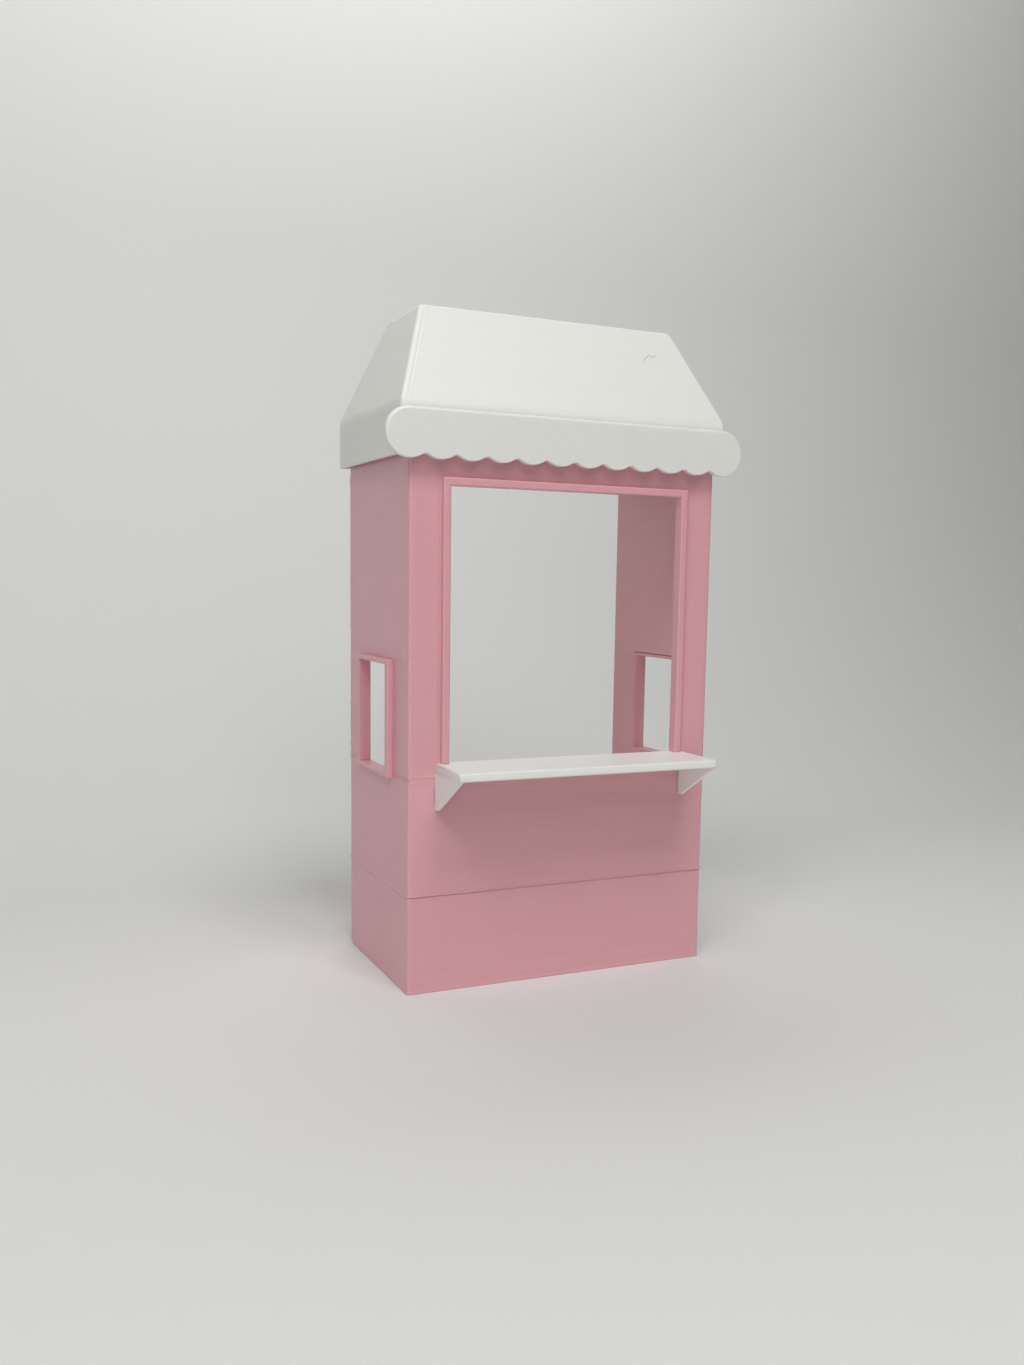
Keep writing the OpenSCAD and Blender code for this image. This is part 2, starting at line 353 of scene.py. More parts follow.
def corner_distance(tree, position):
    """How far a point on a wall is from the nearest upright front corner, along the wall."""
    apart = tree.nodes.new("ShaderNodeSeparateXYZ")
    tree.links.new(position, apart.inputs[0])
    sideways = scalar(tree, "SUBTRACT", base_high.x, scalar(tree, "ABSOLUTE", apart.outputs["X"]))
    backwards = scalar(tree, "SUBTRACT", apart.outputs["Y"], base_low.y)
    return scalar(tree, "ABSOLUTE", scalar(tree, "ADD", sideways, backwards))


PINK = ((0.74, 0.37, 0.41), (0.78, 0.405, 0.445), (0.31, 0.14, 0.16))
PINK_GLOW = (0.15, (1.0, 0.45, 0.4), 0.5 * MM)
SHINE = 0.8


def see_through_edge(shader, weight, tones, depth):
    """Lets a little light travel inside the plastic, under a surface with some shine."""
    shader.inputs["Specular IOR Level"].default_value = SHINE
    shader.inputs["Subsurface Weight"].default_value = weight
    shader.inputs["Subsurface Radius"].default_value = tones
    shader.inputs["Subsurface Scale"].default_value = depth


# Broader bands lie over the walls' layers, from the slow wobble of the printer's lift screw.
BAND_PITCH = 0.83 * MM
BAND_HEIGHT = 0.018 * MM
WALL_RINGING = 0.012 * MM
pink_walls, walls_tree, walls_shader, walls_position = start_material("pink_walls")
walls_lines = use_group(walls_tree, lines_group, {"Position": walls_position, "Pitch": LAYER})
walls_bands = use_group(walls_tree, lines_group, {
    "Position": walls_position, "Pitch": BAND_PITCH, "Bead": 0.0, "Unevenness": BAND_HEIGHT,
})
walls_ringing = use_group(walls_tree, ringing_group, {
    "Distance": corner_distance(walls_tree, walls_position), "Depth": WALL_RINGING,
})
walls_height = scalar(walls_tree, "ADD", walls_lines["Height"], walls_ringing["Height"])
walls_height = scalar(walls_tree, "ADD", walls_height, walls_bands["Height"])
walls_tone = scalar(walls_tree, "ADD", walls_lines["Tone"], walls_bands["Tone"])
walls_tone = scalar(walls_tree, "MULTIPLY", walls_tone, 0.5)
dress(walls_tree, walls_shader, walls_position, walls_height, walls_tone, PINK, 0.34)
see_through_edge(walls_shader, *PINK_GLOW)

MERGE = 0.0005 * MM
SLIVER = 0.002 * MM
FLAT = math.radians(0.4)
SHARP = math.radians(12)
CREASE = math.radians(50)
EDGE_WEIGHTS = "bevel_weight_edge"


def edit(piece, change):
    """Opens a piece's mesh, changes it and puts it back."""
    bm = bmesh.new()
    bm.from_mesh(piece.data)
    change(bm)
    bm.to_mesh(piece.data)
    bm.free()


def join_flat_faces(bm):
    """Joins loose corners, and makes each flat side one face."""
    bmesh.ops.remove_doubles(bm, verts=bm.verts, dist=MERGE)
    bmesh.ops.dissolve_limit(bm, angle_limit=FLAT, verts=bm.verts, edges=bm.edges)


def drop_slivers(bm):
    """Takes out the tiny edges that rounding and cutting leave."""
    bmesh.ops.dissolve_degenerate(bm, dist=SLIVER, edges=bm.edges)


def clean_copy(node):
    """A copy of a CAD solid, ready to be worked on."""
    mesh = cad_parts[node].data.copy()
    mesh.name = node + "_printed"
    mesh.materials.clear()
    piece = bpy.data.objects.new(node + "_printed", mesh)
    bpy.context.scene.collection.objects.link(piece)
    edit(piece, join_flat_faces)
    return piece


def settle(piece):
    """Turns a piece and its modifiers into one plain mesh."""
    depsgraph = bpy.context.evaluated_depsgraph_get()
    mesh = bpy.data.meshes.new_from_object(piece.evaluated_get(depsgraph), depsgraph=depsgraph)
    piece.modifiers.clear()
    piece.data = mesh


def round_edges(piece, radius_of, steps=4):
    """Rounds each sharp edge; radius_of(middle, along) gives its radius, or 0 to keep it sharp."""
    found = {}

    def measure(bm):
        layers = bm.edges.layers.float
        weights = layers.get(EDGE_WEIGHTS) or layers.new(EDGE_WEIGHTS)
        for edge in bm.edges:
            edge[weights] = 0.0
        radii = {}
        for edge in bm.edges:
            if edge.is_manifold and edge.calc_face_angle() > SHARP:
                start, end = edge.verts[0].co, edge.verts[1].co
                radii[edge] = radius_of((start + end) / 2, (end - start).normalized())
        found["widest"] = max(radii.values())
        for edge, radius in radii.items():
            edge[weights] = radius / found["widest"]

    edit(piece, measure)
    bevel = piece.modifiers.new("nozzle rounding", "BEVEL")
    bevel.limit_method = "WEIGHT"
    bevel.width = found["widest"]
    bevel.segments = steps
    bevel.use_clamp_overlap = False
    settle(piece)


def cut_across(piece, axis, levels):
    """Cuts the mesh across an axis at each level, so that it can bend there."""
    normal = Vector([float(i == axis) for i in range(3)])

    def cut(bm):
        for level in levels:
            everything = bm.verts[:] + bm.edges[:] + bm.faces[:]
            bmesh.ops.bisect_plane(
                bm, geom=everything, dist=MERGE / 5, plane_co=normal * level, plane_no=normal
            )

    edit(piece, cut)


SKIN = 0.65 * MM


def swell_walls(piece, profile):
    """Moves the walls' outer skin out by a profile of (height, outward) points."""
    cut_across(piece, 2, [height for height, outward in profile])
    for vertex in piece.data.vertices:
        outward = 0.0
        for (z0, out0), (z1, out1) in zip(profile, profile[1:]):
            if z0 <= vertex.co.z <= z1:
                outward = out0 + (out1 - out0) * (vertex.co.z - z0) / (z1 - z0)
        for axis, low, high in ((0, base_low.x, base_high.x), (1, base_low.y, base_high.y)):
            place = vertex.co[axis]
            depth = min(place - low, high - place)
            if depth < SKIN:
                vertex.co[axis] += math.copysign(outward * (1 - max(depth, 0) / SKIN), place)
    edit(piece, drop_slivers)


NEAR = 0.3 * MM
STRAIGHT = 0.9


def printed_edge(upright, other):
    """Radii for walls: one for the upright outer corners, and one for every other edge."""
    def radius_of(middle, along):
        at_side = base_high.x - abs(middle.x) < NEAR
        at_end = min(middle.y - base_low.y, base_high.y - middle.y) < NEAR
        return upright if abs(along.z) > STRAIGHT and at_side and at_end else other
    return radius_of


def hand_over(piece, material, body, slot, *nodes):
    """Gives a finished piece its material, and puts it on its body in its CAD nodes' place."""
    piece.data.materials.clear()
    piece.data.materials.append(material)
    piece.data.shade_smooth()
    piece.data.set_sharp_from_angle(angle=CREASE)
    normals = piece.modifiers.new("flat faces stay flat", "WEIGHTED_NORMAL")
    normals.weight = 50
    normals.keep_sharp = True
    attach(piece, body)
    if nodes:
        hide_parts(*nodes)


CORNER_RADIUS = 0.60 * MM
WALL_EDGE = 0.12 * MM
THIN_WALL_EDGE = 0.09 * MM
BAND_EDGE = 0.06 * MM
CURL = 0.9 * MM
CURL_REACH = 7 * MM
CURL_RISE = 9 * MM
BASE_FOOT = [
    (0.00 * MM, 0.04 * MM), (0.25 * MM, 0.06 * MM), (0.60 * MM, 0.01 * MM), (0.80 * MM, 0.00 * MM),
    (1.60 * MM, 0.00 * MM), (1.75 * MM, 0.025 * MM), (1.90 * MM, 0.00 * MM),
    (2.75 * MM, 0.00 * MM), (2.90 * MM, 0.025 * MM), (3.05 * MM, 0.00 * MM),
]

base = clean_copy("base_section")
round_edges(base, printed_edge(CORNER_RADIUS, 0.0), 5)
round_edges(base, printed_edge(0.0, WALL_EDGE), 3)
swell_walls(base, BASE_FOOT)
CURL_STEPS = 6
curl_steps = [CURL_REACH * step / CURL_STEPS for step in range(1, CURL_STEPS + 1)]
cut_across(base, 0, [base_low.x + step for step in curl_steps])
cut_across(base, 1, [base_high.y - step for step in curl_steps])
cut_across(base, 2, [CURL_RISE * step / CURL_STEPS for step in range(1, CURL_STEPS)])
for vertex in base.data.vertices:
    away = math.hypot(vertex.co.x - base_low.x, base_high.y - vertex.co.y) / CURL_REACH
    height = vertex.co.z / CURL_RISE
    if away < 1 and height < 1:
        vertex.co.z += CURL * (1 - away) ** 2 * (1 - height) ** 2
hand_over(base, pink_walls, "booth", "pink_plastic", "base_section")


# ---- Floor deck ----
# A pink tray lies on the base's corner posts as the booth's floor. Its rim slips inside the walls
# below and above the joint, and is glued there.
deck = clean_copy("floor_deck")
round_edges(deck, printed_edge(WALL_EDGE, WALL_EDGE), 3)
hand_over(deck, pink_walls, "booth", "pink_plastic", "floor_deck")


# ---- Lower body ----
# Three pink walls stand on the base, open at the back. Their first layer was squeezed out on the
# printer's bed, and makes a lip along the joint. Two slots take the counter's brackets.
lower_low, lower_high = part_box("lower_body")
LIP = 0.20 * MM
lower_foot = [
    (lower_low.z, LIP * 0.7), (lower_low.z + 0.12 * MM, LIP),
    (lower_low.z + 0.22 * MM, LIP), (lower_low.z + 0.55 * MM, 0.0),
    (lower_high.z - 0.50 * MM, 0.0), (lower_high.z - 0.22 * MM, 0.15 * MM), (lower_high.z, 0.12 * MM),
]
lower = clean_copy("lower_body")
round_edges(lower, printed_edge(CORNER_RADIUS, 0.0), 5)
round_edges(lower, printed_edge(0.0, THIN_WALL_EDGE), 3)
swell_walls(lower, lower_foot)
hand_over(lower, pink_walls, "booth", "pink_plastic", "lower_body")


# ---- Joining band ----
# A thin pink strip is glued behind the joint of the lower and the upper walls, and keeps them in
# line. It can only be seen from behind and through the windows.
band = clean_copy("joining_band")
round_edges(band, printed_edge(BAND_EDGE, BAND_EDGE), 2)
hand_over(band, pink_walls, "booth", "pink_plastic", "joining_band")


# ---- Upper body ----
# Three pink walls with a window each, open at the back. The first few layers stand proud along
# the joint, and one layer dips where the printer closed the side windows.
PROUD = 0.14 * MM
upper_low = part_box("upper_body")[0]
window_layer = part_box("side_window_frame_left")[1].z
upper_foot = [
    (upper_low.z, -0.06 * MM), (upper_low.z + 0.15 * MM, -0.02 * MM),
    (upper_low.z + 0.45 * MM, 0.0), (upper_low.z + 0.65 * MM, PROUD),
    (upper_low.z + 0.75 * MM, PROUD), (upper_low.z + 1.05 * MM, 0.0),
    (window_layer - 0.45 * MM, 0.0), (window_layer - 0.30 * MM, -0.05 * MM),
    (window_layer - 0.15 * MM, 0.0), (window_layer, 0.05 * MM), (window_layer + 0.2 * MM, 0.0),
]
upper = clean_copy("upper_body")
round_edges(upper, printed_edge(CORNER_RADIUS, 0.0), 5)
round_edges(upper, printed_edge(0.0, THIN_WALL_EDGE), 3)
swell_walls(upper, upper_foot)
hand_over(upper, pink_walls, "booth", "pink_plastic", "upper_body")


# ---- Seam blobs ----
# Each printed layer starts and stops at the same place, and leaves a tiny blob there. They make a
# rough line up the front wall beside the window, and up the side walls near their rear edges. Two
# larger ones sit on the front frame's head.
def start_tree(name, inputs):
    """A geometry tree with named inputs (name, type); gives the tree, its inputs and its output."""
    tree = bpy.data.node_groups.new(name, "GeometryNodeTree")
    for label, kind in inputs:
        tree.interface.new_socket(name=label, in_out="INPUT", socket_type=kind)
    tree.interface.new_socket(name="Geometry", in_out="OUTPUT", socket_type="NodeSocketGeometry")
    entry = tree.nodes.new("NodeGroupInput")
    leave = tree.nodes.new("NodeGroupOutput")
    return tree, entry.outputs, leave.inputs["Geometry"]


def place_node(tree, kind, values, **settings):
    """Adds a node with its settings and its inputs, and gives its outputs."""
    node = tree.nodes.new(kind)
    for label, value in settings.items():
        setattr(node, label, value)
    for label, value in values.items():
        if isinstance(value, bpy.types.NodeSocket):
            tree.links.new(value, node.inputs[label])
        else:
            node.inputs[label].default_value = value
    return node.outputs


def grow(name, tree, values):
    """Runs a geometry tree with the given inputs, and keeps the result as a plain mesh."""
    piece = bpy.data.objects.new(name, bpy.data.meshes.new(name))
    bpy.context.scene.collection.objects.link(piece)
    modifier = piece.modifiers.new(tree.name, "NODES")
    modifier.node_group = tree
    for item in tree.interface.items_tree:
        if item.item_type == "SOCKET" and item.in_out == "INPUT":
            modifier[item.identifier] = values[item.name]
    settle(piece)
    return piece


blob_tree, given, out = start_tree(
    "blobs in a row",
    [
        ("Count", "NodeSocketInt"),
        ("First", "NodeSocketVector"),
        ("Step", "NodeSocketVector"),
        ("Scatter", "NodeSocketVector"),
        ("Size", "NodeSocketFloat"),
        ("Seed", "NodeSocketInt"),
        ("Plastic", "NodeSocketMaterial"),
    ],
)
row = place_node(
    blob_tree, "GeometryNodeMeshLine",
    {"Count": given["Count"], "Start Location": given["First"], "Offset": given["Step"]},
    mode="OFFSET",
)
back_scatter = place_node(
    blob_tree, "ShaderNodeVectorMath", {0: given["Scatter"], "Scale": -1.0}, operation="SCALE"
)
shake = place_node(
    blob_tree, "FunctionNodeRandomValue",
    {0: back_scatter["Vector"], 1: given["Scatter"], "Seed": given["Seed"]},
    data_type="FLOAT_VECTOR",
)
shaken = place_node(blob_tree, "GeometryNodeSetPosition", {"Geometry": row["Mesh"], "Offset": shake["Value"]})
ball = place_node(blob_tree, "GeometryNodeMeshIcoSphere", {"Radius": given["Size"], "Subdivisions": 2})
growth = place_node(
    blob_tree, "FunctionNodeRandomValue",
    {0: (0.3, 0.3, 0.3), 1: (1.1, 1.1, 1.4), "Seed": given["Seed"]},
    data_type="FLOAT_VECTOR",
)
placed = place_node(
    blob_tree, "GeometryNodeInstanceOnPoints",
    {"Points": shaken["Geometry"], "Instance": ball["Mesh"], "Scale": growth["Value"]},
)
real = place_node(blob_tree, "GeometryNodeRealizeInstances", {"Geometry": placed["Instances"]})
dipped = place_node(
    blob_tree, "GeometryNodeSetMaterial", {"Geometry": real["Geometry"], "Material": given["Plastic"]}
)
blob_tree.links.new(dipped["Geometry"], out)

frame_low, frame_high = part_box("front_window_frame")
BLOB = 0.12 * MM
FRAME_BLOB = 0.22 * MM
BESIDE_FRAME = 0.55 * MM
SEAM_START = 1.5 * MM
ALONG_FRONT = (0.10 * MM, 0.02 * MM, 0.06 * MM)
ALONG_SIDE = (0.02 * MM, 0.10 * MM, 0.06 * MM)
FRONT_SEED = 4
REAR_SEED = 7
FRAME_SEED = 3
skirt_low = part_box("roof_shell")[0].z


def blob_row(name, first, last, count, size, scatter, seed):
    """A row of seam blobs that starts at first and ends one step short of last."""
    piece = grow(name, blob_tree, {
        "Count": count,
        "First": first,
        "Step": (last - first) / count,
        "Scatter": scatter,
        "Size": size,
        "Seed": seed,
        "Plastic": pink_walls,
    })
    hand_over(piece, pink_walls, "booth", "pink_plastic")


seam_layers = int((frame_high.z - frame_low.z) / LAYER)
blob_row(
    "seam_blobs_front",
    Vector((frame_low.x - BESIDE_FRAME, upper_low.y, frame_low.z)),
    Vector((frame_low.x - BESIDE_FRAME, upper_low.y, frame_high.z)),
    seam_layers, BLOB, ALONG_FRONT, FRONT_SEED,
)
for side in (-1, 1):
    blob_row(
        "seam_blobs_rear_left" if side < 0 else "seam_blobs_rear_right",
        Vector((side * base_high.x, base_high.y - BESIDE_FRAME, upper_low.z + SEAM_START)),
        Vector((side * base_high.x, base_high.y - BESIDE_FRAME, skirt_low - SEAM_START)),
        seam_layers, BLOB, ALONG_SIDE, REAR_SEED,
    )
blob_row(
    "frame_blobs",
    Vector((frame_low.x + 4.1 * MM, frame_low.y + 0.02 * MM, frame_high.z - 0.65 * MM)),
    Vector((frame_low.x + 19.7 * MM, frame_low.y + 0.05 * MM, frame_high.z - 2.1 * MM)),
    2, FRAME_BLOB, (0.0, 0.0, 0.0), FRAME_SEED,
)


# ---- Window frames ----
# The front frame stands on the counter, and each side frame surrounds its window. They were
# printed flat in the same pink, so their faces carry slanting lines, and are glued into the walls.
DIAGONAL = math.sqrt(0.5)
LINE_WIDTH = 0.42 * MM
FACE_ON = 8.0
flat_group, given, result = start_group(
    "flat printed lines",
    [
        ("Position", "NodeSocketVector", None),
        ("Normal", "NodeSocketVector", None),
        ("Plate axis", "NodeSocketVector", (0, 1, 0)),
        ("Slant", "NodeSocketVector", (DIAGONAL, 0, DIAGONAL)),
        ("Line width", "NodeSocketFloat", LINE_WIDTH),
        ("Line depth", "NodeSocketFloat", 0.004 * MM),
    ],
    [("Height", "NodeSocketFloat"), ("Tone", "NodeSocketFloat")],
)
facing = vector(flat_group, "DOT_PRODUCT", given["Normal"], given["Plate axis"], output="Value")
facing = scalar(flat_group, "POWER", scalar(flat_group, "ABSOLUTE", facing), FACE_ON)
face_lines = use_group(flat_group, lines_group, {
    "Position": given["Position"], "Direction": given["Slant"],
    "Pitch": given["Line width"], "Bead": given["Line depth"], "Unevenness": given["Line depth"],
})
edge_lines = use_group(flat_group, lines_group, {
    "Position": given["Position"], "Direction": given["Plate axis"], "Pitch": LAYER,
})
for label in ("Height", "Tone"):
    gap = scalar(flat_group, "SUBTRACT", face_lines[label], edge_lines[label])
    both = scalar(flat_group, "MULTIPLY_ADD", gap, facing, edge_lines[label])
    flat_group.links.new(both, result[label])


def flat_plastic(name, colours, axis, slant, roughness, specks=0.03):
    """Plastic of a plate that was printed lying flat, its layers stacked along axis."""
    material, tree, shader, position = start_material(name)
    normal = tree.nodes.new("ShaderNodeTexCoord").outputs["Normal"]
    lines = use_group(tree, flat_group, {
        "Position": position, "Normal": normal, "Plate axis": axis, "Slant": slant,
    })
    dress(tree, shader, position, lines["Height"], lines["Tone"], colours, roughness, specks)
    return material, shader


pink_front_frame, shader = flat_plastic("pink_front_frame", PINK, (0, 1, 0), (DIAGONAL, 0, DIAGONAL), 0.32)
see_through_edge(shader, *PINK_GLOW)
pink_side_frames, shader = flat_plastic("pink_side_frames", PINK, (1, 0, 0), (0, DIAGONAL, DIAGONAL), 0.34)
see_through_edge(shader, *PINK_GLOW)

FRAME_EDGE = 0.30 * MM
LINER_EDGE = 0.10 * MM
TOUCHING = 0.05 * MM


def frame_radii(depth_axis, face):
    """Radii for a frame: generous along its proud face, small on the lining in the wall."""
    def radius_of(middle, along):
        on_face = abs(middle[depth_axis] - face) < TOUCHING
        return FRAME_EDGE if on_face else LINER_EDGE
    return radius_of


front_frame = clean_copy("front_window_frame")
round_edges(front_frame, frame_radii(1, frame_low.y), 4)
hand_over(front_frame, pink_front_frame, "booth", "pink_plastic", "front_window_frame")

for side in ("left", "right"):
    node = "side_window_frame_" + side
    low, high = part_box(node)
    face = low.x if side == "left" else high.x
    side_frame = clean_copy(node)
    round_edges(side_frame, frame_radii(0, face), 4)
    hand_over(side_frame, pink_side_frames, "booth", "pink_plastic", node)


# ---- Counter ----
# A white shelf rests on two triangular white brackets, whose tabs go through the front wall.
# All three were printed flat.
WHITE = ((0.80, 0.80, 0.755), (0.83, 0.83, 0.785), (0.42, 0.40, 0.36))
WHITE_GLOW = (0.3, (1.0, 0.95, 0.85), 0.8 * MM)
# Painted light: the shelf, brackets and collar take a paler copy of the white plastic, so the counter reads
# as more brightly lit than the roof.
SHELF_WHITE_PAINTED_LIGHT = ((0.88, 0.88, 0.84), (0.90, 0.90, 0.86), (0.42, 0.40, 0.36))
white_shelf, shader = flat_plastic("white_shelf", SHELF_WHITE_PAINTED_LIGHT, (0, 0, 1), (DIAGONAL, DIAGONAL, 0), 0.40, 0.12)
see_through_edge(shader, *WHITE_GLOW)
white_brackets, shader = flat_plastic("white_brackets", SHELF_WHITE_PAINTED_LIGHT, (1, 0, 0), (0, DIAGONAL, DIAGONAL), 0.45)
see_through_edge(shader, *WHITE_GLOW)

SHELF_EDGE = 0.32 * MM
BRACKET_EDGE = 0.16 * MM
BESIDE = 0.1 * MM
shelf_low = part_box("counter_shelf")[0]


def shelf_radii(middle, along):
    """Round edges in front and at the ends, and sharp ones where the wall or a bracket touches."""
    in_wall = middle.y > base_low.y - BESIDE
    on_bracket = abs(along.y) > STRAIGHT and middle.z < shelf_low.z + BESIDE
    return 0.0 if in_wall or on_bracket else SHELF_EDGE


def bracket_radii(middle, along):
    """Sharp edges under the shelf and in the wall, round ones elsewhere."""
    hidden = middle.z > shelf_low.z - BESIDE or middle.y > base_low.y - TOUCHING
    return 0.0 if hidden else BRACKET_EDGE


shelf = clean_copy("counter_shelf")
round_edges(shelf, shelf_radii, 4)
hand_over(shelf, white_shelf, "booth", "white_plastic", "counter_shelf")
for side in ("left", "right"):
    node = "counter_bracket_" + side
    bracket = clean_copy(node)
    round_edges(bracket, bracket_radii, 3)
    hand_over(bracket, white_brackets, "booth", "white_plastic", node)


# ---- Roof shell ----
# The white roof is one hollow shell: an upright skirt, four slopes and a flat top, printed
# standing. Its hips are softly rounded, and ringing runs beside them.
roof_low, roof_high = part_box("roof_shell")
SKIRT = 8.5 * MM
TOP_HALF = 25.0 * MM
eave_z = roof_low.z + SKIRT
hip_lean = (roof_high.x - TOP_HALF) / (roof_high.z - eave_z)
HIP_RIPPLE = 0.75 * MM
HIP_REACH = 1.1 * MM
HIP_RINGING = 0.03 * MM

white_roof, roof_tree, roof_shader, roof_position = start_material("white_roof")
roof_lines = use_group(roof_tree, lines_group, {"Position": roof_position, "Pitch": LAYER})
roof_apart = roof_tree.nodes.new("ShaderNodeSeparateXYZ")
roof_tree.links.new(roof_position, roof_apart.inputs[0])
climb = scalar(roof_tree, "MAXIMUM", scalar(roof_tree, "SUBTRACT", roof_apart.outputs["Z"], eave_z), 0.0)
half_width = scalar(roof_tree, "SUBTRACT", roof_high.x, scalar(roof_tree, "MULTIPLY", climb, hip_lean))
from_hip = scalar(roof_tree, "SUBTRACT", half_width, scalar(roof_tree, "ABSOLUTE", roof_apart.outputs["X"]))
roof_ringing = use_group(roof_tree, ringing_group, {
    "Distance": scalar(roof_tree, "ABSOLUTE", from_hip),
    "Spacing": HIP_RIPPLE,
    "Reach": HIP_REACH,
    "Depth": HIP_RINGING,
})
roof_height = scalar(roof_tree, "ADD", roof_lines["Height"], roof_ringing["Height"])
dress(roof_tree, roof_shader, roof_position, roof_height, roof_lines["Tone"], WHITE, 0.45)
see_through_edge(roof_shader, *WHITE_GLOW)

HIP_ROUND = 0.45 * MM
EAVE_ROUND = 0.90 * MM
RIM_ROUND = 0.12 * MM
INNER_ROUND = 0.15 * MM
LEANING = 0.3


def roof_radii(middle, along):
    """Soft hips, eaves and top edges outside, small ones inside, and sharp peg holes."""
    if abs(along.y) > STRAIGHT and middle.z < eave_z - SKIRT / 3 and abs(middle.x) < TOP_HALF:
        return 0.0
    inset = min(roof_high.x - abs(middle.x), middle.y - roof_low.y, roof_high.y - middle.y)
    outside = inset < NEAR or roof_high.z - middle.z < NEAR
    if abs(along.z) > LEANING and middle.z > eave_z:
        return HIP_ROUND
    if middle.z < roof_low.z + BESIDE:
        return RIM_ROUND
    return EAVE_ROUND if outside else INNER_ROUND


roof = clean_copy("roof_shell")
round_edges(roof, roof_radii, 5)
hand_over(roof, white_roof, "roof", "white_plastic", "roof_shell")


THREAD_SIDES = 8


def thread(name, points, radius):
    """A thin round thread through the given points."""
    bm = bmesh.new()
    rings = []
    for place, point in enumerate(points):
        ahead = points[min(place + 1, len(points) - 1)] - points[max(place - 1, 0)]
        across = ahead.cross(Vector((0, 1, 0))).normalized()
        up = ahead.cross(across).normalized()
        ring = []
        for side in range(THREAD_SIDES):
            angle = 2 * math.pi * side / THREAD_SIDES
            outward = math.cos(angle) * across + math.sin(angle) * up
            ring.append(bm.verts.new(point + radius * outward))
        rings.append(ring)
    for one, other in zip(rings, rings[1:]):
        for side in range(THREAD_SIDES):
            nearby = (side + 1) % THREAD_SIDES
            bm.faces.new((one[side], one[nearby], other[nearby], other[side]))
    bm.faces.new(rings[0][::-1])
    bm.faces.new(rings[-1])
    bmesh.ops.recalc_face_normals(bm, faces=bm.faces)
    mesh = bpy.data.meshes.new(name)
    bm.to_mesh(mesh)
    bm.free()
    piece = bpy.data.objects.new(name, mesh)
    bpy.context.scene.collection.objects.link(piece)
    return piece


# A stray hair of filament, pulled by the nozzle as it left, lies on the front slope. Its route is
# in millimetres, as (to the right, height).
HAIR_ROUTE = (
    (17.0, 113.2), (17.2, 113.7), (18.0, 114.3), (18.9, 115.0), (19.5, 114.6), (20.0, 114.8), (20.6, 115.4),
)
HAIR = 0.07 * MM
HAIR_OFF = 0.10 * MM
TOP_FRONT = -8.3 * MM
slope_run = (TOP_FRONT - roof_low.y) / (roof_high.z - eave_z)
hair_points = []
for right, height in HAIR_ROUTE:
    slope_y = roof_low.y + slope_run * (height * MM - eave_z)
    hair_points.append(Vector((right * MM, slope_y - HAIR_OFF, height * MM)))
hair = thread("stray_hair", hair_points, HAIR)
hand_over(hair, white_roof, "roof", "white_plastic")


# ---- Roof collar ----
# A white ring is glued inside the skirt. Its plate rests on the walls, and its lip drops inside
# them, so the roof lifts off and goes back in the same place.
def collar_radii(middle, along):
    """The same small radius on every edge."""
    return RIM_ROUND


collar = clean_copy("roof_collar")
round_edges(collar, collar_radii, 3)
hand_over(collar, white_shelf, "roof", "white_plastic", "roof_collar")


# ---- Valance ----
# A white strip of overlapping discs under a straight top edge, printed face up, so its front rim
# is round. Four pegs on its back go into the skirt.
valance_tree, given, out = start_tree(
    "scalloped strip",
    [
        ("Columns", "NodeSocketInt"),
        ("Scallops", "NodeSocketInt"),
        ("Pitch", "NodeSocketFloat"),
        ("Radius", "NodeSocketFloat"),
        ("Notch radius", "NodeSocketFloat"),
        ("Thickness", "NodeSocketFloat"),
        ("Back", "NodeSocketFloat"),
        ("Middle height", "NodeSocketFloat"),
        ("Pegs", "NodeSocketInt"),
        ("Peg pitch", "NodeSocketVector"),
        ("First peg", "NodeSocketVector"),
        ("Peg radius", "NodeSocketFloat"),
        ("Peg length", "NodeSocketFloat"),
        ("Plastic", "NodeSocketMaterial"),
    ],
)
ROUND_SIDES = 48
ON_EDGE = (math.pi / 2, 0, 0)


def strip(operation, *values):
    """A Math node in the valance's tree."""
    return scalar(valance_tree, operation, *values)


def other_side(long_side, short_side):
    """The third side of a right-angled triangle, or 0 where the short side is longer."""
    long_square = strip("MULTIPLY", long_side, long_side)
    short_square = strip("MULTIPLY", short_side, short_side)
    return strip("SQRT", strip("MAXIMUM", strip("SUBTRACT", long_square, short_square), 0.0))


# A flat grid of two rows becomes the strip: its upper row follows the straight top, its lower
# row the discs and the small round notches between them, and both end in half a circle.
grid = place_node(
    valance_tree, "GeometryNodeMeshGrid",
    {"Size X": 2.0, "Size Y": 2.0, "Vertices X": given["Columns"], "Vertices Y": 2},
)
spot = valance_tree.nodes.new("GeometryNodeInputPosition").outputs["Position"]
grid_place = place_node(valance_tree, "ShaderNodeSeparateXYZ", {"Vector": spot})
half_pitch = strip("MULTIPLY", given["Pitch"], 0.5)
half_row = strip("MULTIPLY", strip("SUBTRACT", given["Scallops"], 1.0), half_pitch)
end_run = strip("MULTIPLY", given["Radius"], math.pi / 2)
travel = strip("MULTIPLY", strip("ABSOLUTE", grid_place["X"]), strip("ADD", half_row, end_run))
inner_run = strip("MINIMUM", travel, half_row)
turn = strip("DIVIDE", strip("SUBTRACT", travel, inner_run), given["Radius"])
outwards = strip("MULTIPLY_ADD", strip("SINE", turn), given["Radius"], inner_run)
strip_x = strip("MULTIPLY", strip("SIGN", grid_place["X"]), outwards)
off_centre = strip("PINGPONG", strip("SUBTRACT", half_row, inner_run), half_pitch)
both_radii = strip("ADD", given["Radius"], given["Notch radius"])
disc_depth = other_side(given["Radius"], off_centre)
notch_centre = other_side(both_radii, half_pitch)
from_notch = strip("SUBTRACT", half_pitch, off_centre)
notch_depth = strip("SUBTRACT", notch_centre, other_side(given["Notch radius"], from_notch))
notch_start = strip("DIVIDE", strip("MULTIPLY", half_pitch, given["Radius"]), both_radii)
in_notch = strip("GREATER_THAN", off_centre, notch_start)
